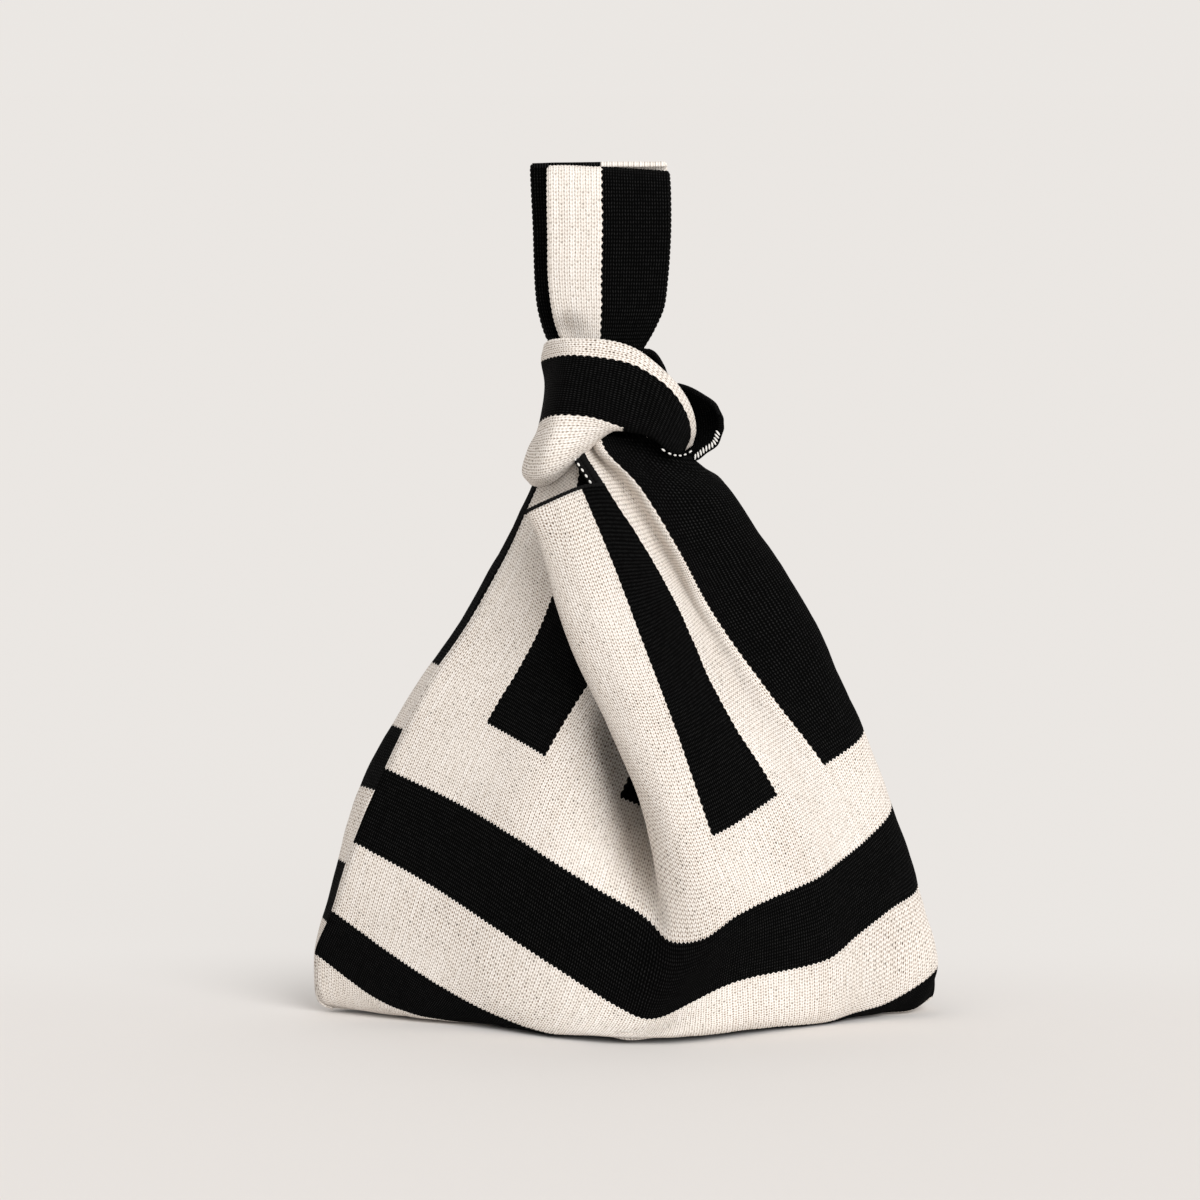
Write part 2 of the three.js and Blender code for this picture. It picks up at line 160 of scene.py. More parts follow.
# The crease beside the roll: its place across and the drop behind it, by its place along the cloth
CREASE_AT = (148.0, 163.0, 175.5, 184.0, 196.0, 215.0)
CREASE_ACROSS = (110.0, 103.0, 94.0, 88.0, 78.0, 70.0)
CREASE_DEPTH = (0.0, 6.0, 9.0, 9.0, 8.0, 0.0)
CREASE_TURN = 7.0
ROLL_FOOT = 128.0

# Beside its roll the back is tucked in less than the front, so that the two stay apart
BACK_TUCK = 14.0
BACK_TUCK_ROWS = slice(6, 9)
BACK_TUCK_COLUMNS = slice(3, 5)

# How deep the back root of the short strap lies, as a share of the front one's depth
BACK_ROOT_PULL = 0.74

# The wrist loop's legs: (height, left edge, right edge, depth, how far the edges curl)
FRONT_LEG = [
    (264, -21, 4, -8, 4), (272, -23, 5.5, -8.5, 5), (280.2, -26.3, 10.2, -9, 5),
    (285.5, -28, 12.7, -9, 4), (291.9, -29.6, 15.2, -9, 3), (303.2, -30.8, 16.6, -8.5, 2),
    (323.4, -31, 17.7, -9, 1), (342, -31.2, 17.5, -6.5, 0.5), (347.9, -31.2, 17.3, -3.5, 0.3),
    (349.5, -31.2, 17.3, -0.8, 0),
]
BACK_LEG = [
    (264, -22, 4, 8, -4), (278.3, -31.5, 8, 8, -4), (288.9, -35, 12.1, 8, -3),
    (299.1, -36.3, 14.1, 8, -2), (322.7, -37, 17.2, 9, -1), (342, -37.8, 16.3, 6.5, -0.5),
    (349.3, -38, 16.1, 3.5, -0.3), (351.2, -37.8, 16.1, 0.6, 0),
]

# How far the top of each leg hangs lower at its far end
FRONT_SAG = 2.4
BACK_SAG = 0.6
SAG_FROM = 338.0
SAG_REACH = 12.0
SAG_CURVE = 1.5

# How sharply the edges of a leg curl, and a dent in the front one as (x, z, radius, depth)
CURL_POWER = 3
DENT = (-23.5, 283.0, 6.0, 4.5)

# The knot: ribs across the wrapped strap, from its upper edge, each point as (across, x, y, z) in front
# and as (x, y, z) behind, where the strap is bunched
FRONT_BAND = [
    [(0, -24, 13, 269), (6, -25.5, 13.5, 265), (20, -28, 14.5, 255), (34, -30, 14.5, 244),
     (44, -31, 14, 236), (52, -31.2, 13.4, 231), (58, -31, 12.5, 227)],
    [(0, -33.2, -4, 277), (6, -34.4, -4, 271), (20, -33.1, -4.5, 260.5), (34, -35.4, -6, 243.4),
     (44, -40, -10, 235), (52, -42.2, -13.5, 226), (58, -39.2, -14.5, 221.6)],
    [(0, -24.5, -19, 280.4), (6, -24, -23, 275.1), (20, -26.4, -26, 263.6), (34, -29.4, -29, 249.2),
     (44, -32.3, -32.5, 236.5), (52, -33.2, -31.5, 226.2), (58, -30.3, -26, 222.4)],
    [(0, -10.4, -23, 280.7), (6, -11.2, -27, 274.9), (20, -13.6, -30, 261.9), (34, -15.6, -32, 249.2),
     (44, -18.6, -32.5, 238.5), (52, -19.8, -28.5, 232.6), (58, -17.8, -21.5, 232.8)],
    [(0, 5.7, -24, 275.9), (6, 4.8, -28, 271.1), (20, 1.6, -31, 257.5), (34, -1.1, -31, 245.1),
     (44, -0.3, -24, 245.2), (52, 1, -18, 248.5), (58, 2.6, -15, 252.3)],
    [(0, 18.6, -21, 264.8), (6, 17.8, -25, 262), (20, 13.7, -29, 251), (34, 9.7, -29, 241.7),
     (44, 10.4, -22, 242.6), (52, 10.7, -16, 246), (58, 10.7, -13, 248.9)],
    [(0, 26.4, -15, 253.1), (6, 25.2, -19, 250.4), (20, 21, -23, 241.6), (34, 17.3, -24, 235.6),
     (44, 17.4, -17, 236.6), (52, 16.5, -12, 239.5), (58, 15.6, -9, 242)],
    [(0, 29, -9, 242.6), (6, 27, -13, 240.8), (20, 24.2, -15.5, 236.6), (34, 21.6, -17, 233.7),
     (44, 20.9, -11, 234.3), (52, 19.8, -6, 236.8), (58, 18.8, -4, 239)],
    [(0, 27.5, -5, 236), (6, 24.6, -8, 234.2), (20, 23, -9, 233.2), (34, 20.6, -9, 232.8),
     (44, 19.4, -5, 234), (52, 18.2, -2, 236), (58, 17, 1, 238)],
]
BACK_BAND = [
    [(39.2, -3, 249.2), (40, -3.2, 247.2), (40.1, -3.6, 245), (40.2, -4.2, 243), (39.6, -5, 241)],
    [(36.9, 1.5, 253.2), (38.4, 3, 248.5), (38.8, 3, 245), (38.8, 0, 240.5), (37.7, -6, 236.2)],
    [(32.1, 5, 256.4), (34, 8, 250), (34.8, 8.5, 245), (34.6, 4, 239), (33.3, -7, 233)],
    [(27, 8.5, 258.9), (29, 13, 251.5), (30, 14, 245), (30, 8, 237.5), (29.2, -7, 230)],
    [(22.2, 12, 260.2), (24.6, 18, 252.5), (26, 19.5, 245), (26.2, 14, 237), (25, 0, 229.8)],
    [(18.4, 14.8, 260.5), (21.6, 20.8, 254.5), (23.6, 23, 246.5), (24.3, 20, 237.5), (23.6, 12, 229)],
    [(16, 15.2, 267.3), (18.6, 21.5, 258.5), (20.6, 25, 249), (21.4, 24, 238), (21, 19, 228.5)],
    [(11, 15.5, 273.8), (13.4, 22.5, 263), (15.4, 27, 252), (16.2, 28.5, 239), (16, 26.5, 228)],
    [(-6, 20, 271), (-5, 27.5, 262), (-4.5, 32.5, 250), (-4, 34, 238), (-4, 32, 226)],
    [(-24, 13, 269), (-26.8, 14, 259.3), (-29.2, 14.5, 248.5), (-31, 14.2, 237.5), (-31, 12.5, 227)],
]

# White overlock thread on the turned end of the short strap, and the ribs of its tail that carry it
COLLAR_THREAD = [
    (13.7, -28, 237.4), (16.2, -26, 235.4), (19, -22, 233.8),
    (22.4, -16, 233), (25.1, -11, 233.3), (27.5, -7.5, 234.7),
]
TAIL_THREAD_RIBS = (0, 3)

# Grid steps between guides, rounds of evening out, and soft dents as (height, size)
ROW_STEPS = 9
COLUMN_STEPS = 9
PANEL_EVENED = 3
BIG_DENTS = (1.3, 34.0)
SMALL_DENTS = (0.35, 9.0)
LEG_STEPS = (8, 7)
LEG_COLUMNS = 7
LEG_DENTS = (0.5, 14.0)
WRAP_STEPS = 9
FRONT_WRAP_ACROSS = 8
BACK_WRAP_ACROSS = 10
WRAP_EVENED = 2
WRAP_DENTS = (0.6, 16.0)
SEED_STEP = 5

# A point's own share in evening out, and the least length to divide by
OWN_SHARE = 0.5
TINY = 1e-9

# Sewn edges: how far in they are thin, and their share of the thickness
SEWN_TAPER = 9.0
SEWN_SHARE = 0.05

# Stitches along edges and seams, as (pitch, length, width)
BEAD_PITCH = 1.5
BEAD_LENGTH = 2.1
MOUTH_BEADS = (BEAD_PITCH, BEAD_LENGTH, 1.7)
ROOT_BEADS = (BEAD_PITCH, 2.6, 3.6)
SIDE_SEAM_BEADS = (BEAD_PITCH, BEAD_LENGTH, 0.7)
BOTTOM_SEAM_BEADS = (BEAD_PITCH, BEAD_LENGTH, 1.2)
LOOP_SEAM_BEADS = (BEAD_PITCH, BEAD_LENGTH, 1.3)
BAND_SEAM_BEADS = (BEAD_PITCH, BEAD_LENGTH, 1.9)
EDGE_STITCHES = (2.2, 2.9, 1.8)
ROOT_DASHES = (3.0, 1.7, 0.9)
COLLAR_DASHES = (4.2, 2.2, 0.8)
TAIL_DASHES = (1.4, 2.6, 0.85)

# How many degrees the tail's dashes lean, and how far ahead and behind a stitch takes its direction from
TAIL_DASH_LEAN = 60
LOOK_AHEAD = 0.4

# How far a row of stitches is moved from the line that it follows
ROOT_EDGE_MOVE = (-1.6, 1.0, 0)
ROOT_SECOND_EDGE_MOVE = (-4.2, 1.6, 0)
ROOT_DASHES_MOVE = (-4.9, -0.8, 0)
LEFT_SEAM_MOVE = (0.4, 0.2, 0, 0, 0)
RIGHT_SEAM_MOVE = (-0.4, 0, 0, 0, 0)
BOTTOM_SEAM_MOVE = (0, 1, 0, 0, 0)
LOOP_SEAM_MOVE = (0, 0.6, -0.4, 0, 0)
TAIL_DASHES_MOVE = (-0.7, -1.0, 0.6)

# Where the outside of a row of stitches roughly faces
TO_FRONT = (0, -1, 0.3)
TO_BACK = (0, 1, 0.3)
TO_LEFT = (-1, -0.3, 0)
TO_RIGHT = (1, 0.3, 0)
BAND_END_LEFT = (-1, 0, 0)
UPWARDS = (0, 0, 1)
DOWNWARDS = (0, 0, -1)

# Colours as they look, in linear light
CREAM = (0.945, 0.90, 0.85)
# Cream in the grooves of the knit, as painted shade; on single stitches it is the dark end of their
# random fuzz
CREAM_PAINTED_SHADE_AND_FUZZ = (0.66, 0.585, 0.505)
CREAM_FLECK = (0.75, 0.675, 0.59)
# Pinholes between stitches, drawn as painted shade, deeper in a few of them
PINHOLE_PAINTED_SHADE = (0.23, 0.15, 0.095)
PINHOLE_PAINTED_DEEP_SHADE = (0.05, 0.03, 0.02)
# The black knit's painted highlight on the tops of its ribs
BLACK_PAINTED_HIGHLIGHT = (0.0175, 0.0172, 0.0172)
BLACK_YARN = (0.0085, 0.0083, 0.0083)
# The black knit between its painted highlights, as painted shade; on single stitches the dark end of
# their random fuzz
BLACK_PAINTED_SHADE_AND_FUZZ = (0.0003, 0.0003, 0.0003)
WHITE = (0.86, 0.84, 0.80)
FLOOR = (0.75, 0.722, 0.698)
BACKGROUND = (0.83, 0.80, 0.77)
SKY = (1.0, 0.985, 0.97)

# The knit's relief, in shares of a stitch, and how finely its rows drift
DRIFT_SCALE = 260.0
DRIFT = 0.3
ARM_LEAN = 0.6
ROUNDNESS = 0.6
RIB_FILL = 0.55
COURSE_RELIEF = 0.4
HOLE_WIDTH = 0.48
HOLE_HEIGHT = 0.38
HOLE_LEVELS = (0.5, 0.4)
HOLE_EDGE = 0.5
HOLE_RANGE = 0.6
HOLE_LEAST = 0.35
SCALLOP = 0.16
ROW_MIDDLE = 0.6

# Zones of the cloth where the pinholes open more, and the share of the pinholes' painted shade on the
# straps
ZONE_SCALE = 24.0
ZONE_DETAIL = 1.0
ZONE_RANGE = 1.2
ZONE_LEAST = 0.4
STRAP_HOLES = 0.6
BACK_STRAP_HOLES = 0.4

# How the yarns take the light and how they are coloured: painted shade in the grooves and in the pinholes
# as dark hollows, flecks, streaks, and a painted highlight as shine on the ribs of the black
YARN_ROUGHNESS = 0.95
YARN_SPECULAR = 0.04
LIT_CURVE = 0.5
FLECK_RARITY = 3.0
FLECK_SHARE = 0.5
STREAK_SHARE = 0.3
DARK_HOLE_RARITY = 7.0
SHINE_SHARPNESS = 12.0
SHINE_RANGE = 0.7
SHINE_LEAST = 0.65
BUMP_STRENGTH = 0.8
BUMP_HEIGHT = 0.4
FUZZ_SCALE = 1800.0
NOISE_DETAIL = 2.0
THREAD_SHADE = 0.7

# Stage, light and camera, in metres
FLOOR_SIZE = 100
FLOOR_ROUGHNESS = 0.9
BACKDROP_FROM = -0.02
BACKDROP_TO = 0.14
BACKDROP_SHARE = 0.9
SKY_STRENGTH = 0.74
KEY_STRENGTH = 2.35
KEY_SPREAD = math.radians(42)
KEY_DIRECTION = Vector((-0.47, 0.74, -0.46))
CAMERA_TARGET = Vector((-0.01037, 0, 0.1722))
CAMERA_DISTANCE = 1.8
CAMERA_TILT = math.radians(7)
CAMERA_VIEW_WIDTH = 0.492
CAMERA_SENSOR = 36


# Guides to smooth surfaces
def slope_matrix(knots):
    """Weights that turn values at the knots into slopes there."""
    count = len(knots)
    step = np.diff(knots)
    slopes = np.zeros((count, count))
    for i in range(count):
        if i == 0 or i == count - 1:
            low = min(i, count - 2)
            slopes[i, low] = -1 / step[low]
            slopes[i, low + 1] = 1 / step[low]
            continue
        before, after = step[i - 1], step[i]
        slopes[i, i - 1] = -after / before / (before + after)
        slopes[i, i] = (after - before) / before / after
        slopes[i, i + 1] = before / after / (before + after)
    return slopes


def through(knots, steps):
    """Weights of a smooth curve through values at the knots, with so many steps between each two."""
    slopes = slope_matrix(knots)
    rows = []
    for i in range(len(knots) - 1):
        span = knots[i + 1] - knots[i]
        last = i == len(knots) - 2
        for t in np.linspace(0, 1, steps + 1)[: steps + 1 if last else steps]:
            row = span * ((t**3 - 2 * t**2 + t) * slopes[i] + (t**3 - t**2) * slopes[i + 1])
            row[i] += 2 * t**3 - 3 * t**2 + 1
            row[i + 1] += 3 * t**2 - 2 * t**3
            rows.append(row)
    return np.array(rows)


def chord_knots(guides):
    """Knots along the first axis of a net, spaced by the root of the mean distance between its lines."""
    lengths = np.linalg.norm(np.diff(guides[..., :3], axis=0), axis=-1).mean(axis=1)
    return np.concatenate([[0], np.cumsum(np.sqrt(lengths))])


def surface(guides, row_steps, column_steps):
    """A smooth grid through a net of guide points; every column of a point is carried along."""
    up = through(chord_knots(guides), row_steps)
    across = through(chord_knots(guides.transpose(1, 0, 2)), column_steps)
    return np.einsum("ri,ijk,cj->rck", up, guides, across)


def relax(grid, rounds):
    """Evens out small kinks inside a grid and leaves its borders."""
    grid = grid.copy()
    for _ in range(rounds):
        middle = grid[1:-1, 1:-1, :3]
        around = grid[:-2, 1:-1, :3] + grid[2:, 1:-1, :3] + grid[1:-1, :-2, :3] + grid[1:-1, 2:, :3]
        grid[1:-1, 1:-1, :3] = OWN_SHARE * middle + (1 - OWN_SHARE) / 4 * around
    return grid


def normals_of(grid):
    """Which way the outside of a grid faces at each point."""
    along = np.gradient(grid[..., :3], axis=0)
    across = np.gradient(grid[..., :3], axis=1)
    normal = np.cross(across, along)
    return normal / np.maximum(np.linalg.norm(normal, axis=-1, keepdims=True), TINY)


def rumple(grid, height, size, seed):
    """Pushes a grid in and out by soft dents of about that size, in mm."""
    normal = normals_of(grid)
    shift = np.zeros(grid.shape[:2])
    for i in range(grid.shape[0]):
        for j in range(grid.shape[1]):
            x, y, z = grid[i, j, :3] / size
            shift[i, j] = noise.noise(Vector((x, y, z + seed)))
    moved = grid.copy()
    moved[..., :3] += normal * (height * shift)[..., None]
    return moved


def rest_on_floor(grid, clear):
    """Lifts what would sink into the floor to so many mm above it."""
    grid = grid.copy()
    grid[..., 2] = np.maximum(grid[..., 2], clear)
    return grid


# Meshes
def finished(obj, material):
    """Keeps a piece off the floor and gives it its material and smooth shading."""
    for vertex in obj.data.vertices:
        vertex.co.z = max(vertex.co.z, FLOOR_CLEAR * MM)
    obj.data.materials.append(material)
    obj.data.shade_smooth()
    return obj


def apply_modifiers(obj):
    """Applies all modifiers of a piece, in their order."""
    bpy.ops.object.select_all(action="DESELECT")
    obj.select_set(True)
    bpy.context.view_layer.objects.active = obj
    for modifier in list(obj.modifiers):
        bpy.ops.object.modifier_apply(modifier=modifier.name)


def new_object(name, points, faces, flat):
    """A mesh in mm whose map called cloth holds each point's place on the flat cloth, in metres."""
    mesh = bpy.data.meshes.new(name)
    mesh.from_pydata([tuple(p * MM) for p in points], [], faces)
    mesh.update()
    corners = np.zeros(len(mesh.loops), dtype=np.int32)
    mesh.loops.foreach_get("vertex_index", corners)
    layer = mesh.uv_layers.new(name="cloth")
    layer.data.foreach_set("uv", (np.asarray(flat)[corners] * MM).astype(np.float32).ravel())
    obj = bpy.data.objects.new(name, mesh)
    bpy.context.scene.collection.objects.link(obj)
    return obj


def knit_sheet(name, grid, material, cut_away=None, fullness=None):
    """A sheet of cloth with thickness from a grid of (x, y, z, across, along) in mm. cut_away marks the
    faces that aren't cloth, and fullness is the share of the thickness at each point."""
    rows, columns = grid.shape[:2]
    used = {}
    faces = []
    for i in range(rows - 1):
        for j in range(columns - 1):
            if cut_away is not None and cut_away[i, j]:
                continue
            corners = [(i, j), (i, j + 1), (i + 1, j + 1), (i + 1, j)]
            faces.append(tuple(used.setdefault(corner, len(used)) for corner in corners))
    places = np.array([grid[corner] for corner in used])
    obj = new_object(name, places[:, :3], faces, places[:, 3:5])
    wall = obj.modifiers.new("wall", "SOLIDIFY")
    wall.thickness = CLOTH * MM
    wall.offset = -1
    if fullness is not None:
        group = obj.vertex_groups.new(name="fullness")
        for corner, index in used.items():
            group.add([index], float(fullness[corner]), "REPLACE")
        wall.vertex_group = group.name
        wall.thickness_vertex_group = SEWN_SHARE
    apply_modifiers(obj)
    obj.vertex_groups.clear()
    return finished(obj, material)


def one_stitch():
    """The points and faces of a plump stitch of unit size, modelled once."""
    bpy.ops.object.select_all(action="DESELECT")
    bpy.ops.mesh.primitive_uv_sphere_add(segments=8, ring_count=6, radius=0.5)
    ball = bpy.context.active_object
    points = np.array([v.co for v in ball.data.vertices])
    faces = [tuple(p.vertices) for p in ball.data.polygons]
    bpy.data.objects.remove(ball)
    return points, faces


STITCH = one_stitch()


def spaced(line, pitch):
    """Points at an even pitch along a line, with the direction at each."""
    line = np.asarray(line, dtype=float)
    lengths = np.concatenate([[0], np.cumsum(np.linalg.norm(np.diff(line[:, :3], axis=0), axis=1))])
    count = max(int(round(lengths[-1] / pitch)), 1)
    places = (np.arange(count) + 0.5) * lengths[-1] / count
    points = np.stack([np.interp(places, lengths, line[:, k]) for k in range(line.shape[1])], axis=1)
    ahead = np.stack([np.interp(places + LOOK_AHEAD, lengths, line[:, k]) for k in range(3)], axis=1)
    behind = np.stack([np.interp(places - LOOK_AHEAD, lengths, line[:, k]) for k in range(3)], axis=1)
    direction = ahead - behind
    return points, direction / np.maximum(np.linalg.norm(direction, axis=1, keepdims=True), TINY)


def stitch_rows(name, lines, material, sizes, lean=0.0, outside=TO_FRONT):
    """Rows of stitches along lines in mm, with sizes as (pitch, length, width). Each stitch leans across
    its line by so many degrees, and outside is roughly where its outer side faces."""
    shape, shape_faces = STITCH
    pitch, length, width = sizes
    points, faces, flat = [], [], []
    turn = math.radians(lean)
    for line in lines:
        places, directions = spaced(line, pitch)
        for place, along in zip(places, directions):
            out = np.asarray(outside, dtype=float)
            out = out - along * out.dot(along)
            out /= np.linalg.norm(out)
            side = np.cross(out, along)
            ahead = along * math.cos(turn) + side * math.sin(turn)
            beside = side * math.cos(turn) - along * math.sin(turn)
            base = len(points)
            for x, y, z in shape:
                points.append(place[:3] + ahead * z * length + beside * x * width + out * y * width)
                flat.append(place[3:5] if len(place) > 3 else (0, 0))
            faces += [tuple(base + i for i in face) for face in shape_faces]
    return finished(new_object(name, points, faces, flat), material)


# Materials
class Wiring:
    """Adds nodes to a tree and links them."""

    def __init__(self, tree):
        self.tree = tree

    def node(self, kind, **settings):
        made = self.tree.nodes.new(kind)
        for key, value in settings.items():
            setattr(made, key, value)
        return made

    def feed(self, socket, value):
        if isinstance(value, bpy.types.NodeSocket):
            self.tree.links.new(value, socket)
        else:
            socket.default_value = value

    def math(self, operation, *values):
        made = self.node("ShaderNodeMath", operation=operation)
        for socket, value in zip(made.inputs, values):
            self.feed(socket, value)
        return made.outputs[0]

    def ranged(self, value, span, least):
        return self.math("ADD", self.math("MULTIPLY", value, span), least)

    def flipped(self, value):
        return self.math("SUBTRACT", 1.0, value)

    def hump(self, value):
        """A round hump over each whole step of the value, as a yarn has."""
        wave = self.math("SINE", self.math("MULTIPLY", value, math.pi))
        return self.math("POWER", self.math("MAXIMUM", wave, 0.0), ROUNDNESS)

    def split(self, vector):
        made = self.node("ShaderNodeSeparateXYZ")
        self.feed(made.inputs[0], vector)
        return made.outputs

    def noise(self, place, scale, detail):
        made = self.node("ShaderNodeTexNoise")
        made.inputs["Scale"].default_value = scale
        made.inputs["Detail"].default_value = detail
        self.feed(made.inputs["Vector"], place)
        return made

    def mix(self, share, low, high):
        made = self.node("ShaderNodeMix", data_type="RGBA")
        self.feed(made.inputs["Factor"], share)
        self.feed(made.inputs[6], low)
        self.feed(made.inputs[7], high)
        return made.outputs[2]


def colour(rgb):
    return (*rgb, 1.0)


def new_group(name, inputs, outputs):
    """An empty node group whose sockets are given as name and type: its wiring, inputs and outputs."""
    tree = bpy.data.node_groups.new(name, "ShaderNodeTree")
    for way, sockets in (("INPUT", inputs), ("OUTPUT", outputs)):
        for socket, kind in sockets.items():
            tree.interface.new_socket(socket, in_out=way, socket_type="NodeSocket" + kind)
    wire = Wiring(tree)
    return wire, wire.node("NodeGroupInput").outputs, wire.node("NodeGroupOutput").inputs


def knit_group():
    """Stitch cells of a plain knit: where each stitch is, how high its yarn stands, and the pinholes."""
    asked = {"Cloth": "Vector", "Wale": "Float", "Course": "Float"}
    values = ("Across", "Along", "Height", "Pinhole", "Fleck", "Streak")
    wire, given, result = new_group("knit stitches", asked, dict.fromkeys(values, "Float"))
    drift = wire.split(wire.noise(given["Cloth"], DRIFT_SCALE, NOISE_DETAIL).outputs["Color"])
    place = wire.split(given["Cloth"])
    courses = wire.math("DIVIDE", place["Y"], given["Course"])
    courses = wire.math("ADD", courses, wire.math("MULTIPLY", drift["Y"], DRIFT))
    wales = wire.math("DIVIDE", place["X"], given["Wale"])
    wales = wire.math("ADD", wales, wire.math("MULTIPLY", drift["X"], DRIFT))
    # Each stitch is a pair of arms that lean outwards as they climb
    column = wire.math("FLOOR", wales)
    doubled = wire.math("MULTIPLY", wire.math("SUBTRACT", wales, column), 2.0)
    side = wire.math("ABSOLUTE", wire.math("SUBTRACT", doubled, 1.0))
    leaning = wire.math("SUBTRACT", courses, wire.math("MULTIPLY", side, ARM_LEAN))
    row = wire.math("FLOOR", leaning)
    climb = wire.math("SUBTRACT", leaning, row)
    rib = wire.math("MULTIPLY", wire.flipped(side), RIB_FILL)
    arm = wire.math("MAXIMUM", wire.hump(side), rib)
    height = wire.math("MULTIPLY", arm, wire.ranged(wire.hump(climb), COURSE_RELIEF, 1 - COURSE_RELIEF))
    # Each stitch has its own chance, and so has each column
    cell = wire.node("ShaderNodeCombineXYZ")
    wire.feed(cell.inputs["X"], column)
    wire.feed(cell.inputs["Y"], row)
    fleck = wire.node("ShaderNodeTexWhiteNoise", noise_dimensions="2D")
    wire.feed(fleck.inputs["Vector"], cell.outputs[0])
    chance = fleck.outputs["Value"]
    streak = wire.node("ShaderNodeTexWhiteNoise", noise_dimensions="1D")
    wire.feed(streak.inputs["W"], column)
    # A pinhole between the arms of each stitch, and one half a course away between two stitches
    holes = []
    for edge, level, luck in zip((side, wire.flipped(side)), HOLE_LEVELS, (chance, wire.flipped(chance))):
        beside = wire.math("POWER", wire.math("DIVIDE", edge, HOLE_WIDTH), 2.0)
        above = wire.math("DIVIDE", wire.math("SUBTRACT", climb, level), HOLE_HEIGHT)
        away = wire.math("ADD", beside, wire.math("POWER", above, 2.0))
        hole = wire.math("POWER", wire.math("MAXIMUM", wire.flipped(away), 0.0), HOLE_EDGE)
        holes.append(wire.math("MULTIPLY", hole, wire.ranged(luck, HOLE_RANGE, HOLE_LEAST)))
    # The pinholes open more in some zones of the cloth than in others
    zones = wire.noise(given["Cloth"], ZONE_SCALE, ZONE_DETAIL)
    opened = wire.ranged(zones.outputs[0], ZONE_RANGE, ZONE_LEAST)
    # A stripe ends on whole stitches, so its edge is scalloped
    beat = wire.math("SINE", wire.math("MULTIPLY", courses, math.pi))
    edge_column = wire.math("FLOOR", wire.math("ADD", wales, wire.math("MULTIPLY", beat, SCALLOP)))
    centre_across = wire.math("MULTIPLY", wire.math("ADD", edge_column, 0.5), given["Wale"])
    centre_along = wire.math("MULTIPLY", wire.math("ADD", row, ROW_MIDDLE), given["Course"])
    wire.feed(result["Across"], centre_across)
    wire.feed(result["Along"], centre_along)
    wire.feed(result["Height"], height)
    wire.feed(result["Pinhole"], wire.math("MULTIPLY", wire.math("MAXIMUM", *holes), opened))
    wire.feed(result["Fleck"], chance)
    wire.feed(result["Streak"], streak.outputs["Value"])
    return wire.tree


def fuzz_group():
    """The uneven colour of a single yarn, from its shade to its full colour."""
    asked = {"Place": "Vector", "Shade": "Color", "Full": "Color"}
    wire, given, result = new_group("yarn fuzz", asked, {"Colour": "Color"})
    fuzz = wire.noise(given["Place"], FUZZ_SCALE, NOISE_DETAIL)
    wire.feed(result["Colour"], wire.mix(fuzz.outputs[0], given["Shade"], given["Full"]))
    return wire.tree


KNIT = knit_group()
FUZZ = fuzz_group()


def matte_material(name, roughness=YARN_ROUGHNESS, specular=YARN_SPECULAR):
    """A plain matte material, its wiring and its shader."""
    material = bpy.data.materials.new(name)
    material.use_nodes = True
    shader = material.node_tree.nodes["Principled BSDF"]
    shader.inputs["Roughness"].default_value = roughness
    shader.inputs["Specular IOR Level"].default_value = specular
    return material, Wiring(material.node_tree), shader


def knit_material(name, black_where, wale=WALE, holes=1.0):
    """Cream and black knit, with painted shade in its grooves and pinholes and a painted highlight on the
    ribs of the black; black_where(wire, across, along) gives the mask of the black stitches.
    """
    material, wire, shader = matte_material(name)
    cloth = wire.node("ShaderNodeUVMap", uv_map="cloth")
    stitches = wire.node("ShaderNodeGroup", node_tree=KNIT)
    wire.feed(stitches.inputs["Cloth"], cloth.outputs[0])
    stitches.inputs["Wale"].default_value = wale * MM
    stitches.inputs["Course"].default_value = COURSE * MM
    height = stitches.outputs["Height"]
    chance = stitches.outputs["Fleck"]
    # Painted shade: the cream is lighter on the raised yarn and darker in the grooves between stitches
    cream = wire.mix(wire.math("POWER", height, LIT_CURVE), colour(CREAM_PAINTED_SHADE_AND_FUZZ), colour(CREAM))
    flecks = wire.math("MULTIPLY", wire.math("POWER", chance, FLECK_RARITY), FLECK_SHARE)
    streaks = wire.math("MULTIPLY", stitches.outputs["Streak"], STREAK_SHARE)
    for share in (flecks, streaks):
        cream = wire.mix(share, cream, colour(CREAM_FLECK))
    # Painted shade in the pinholes, deeper in a few of them
    painted_hole_shade = wire.mix(wire.math("POWER", chance, DARK_HOLE_RARITY), colour(PINHOLE_PAINTED_SHADE), colour(PINHOLE_PAINTED_DEEP_SHADE))
    cream = wire.mix(wire.math("MULTIPLY", stitches.outputs["Pinhole"], holes), cream, painted_hole_shade)
    # Painted highlight on the tops of the black's ribs and painted shade between them, which together
    # give the black knit its dark tone
    uneven = wire.ranged(chance, SHINE_RANGE, SHINE_LEAST)
    shine = wire.math("MULTIPLY", wire.math("POWER", height, SHINE_SHARPNESS), uneven)
    dark = wire.mix(shine, colour(BLACK_PAINTED_SHADE_AND_FUZZ), colour(BLACK_PAINTED_HIGHLIGHT))
    black = black_where(wire, stitches.outputs["Across"], stitches.outputs["Along"])
    wire.feed(shader.inputs["Base Color"], wire.mix(black, cream, dark))
    bump = wire.node("ShaderNodeBump")
    bump.inputs["Strength"].default_value = BUMP_STRENGTH
    bump.inputs["Distance"].default_value = BUMP_HEIGHT * MM
    wire.feed(bump.inputs["Height"], height)
    wire.feed(shader.inputs["Normal"], bump.outputs[0])
    return material


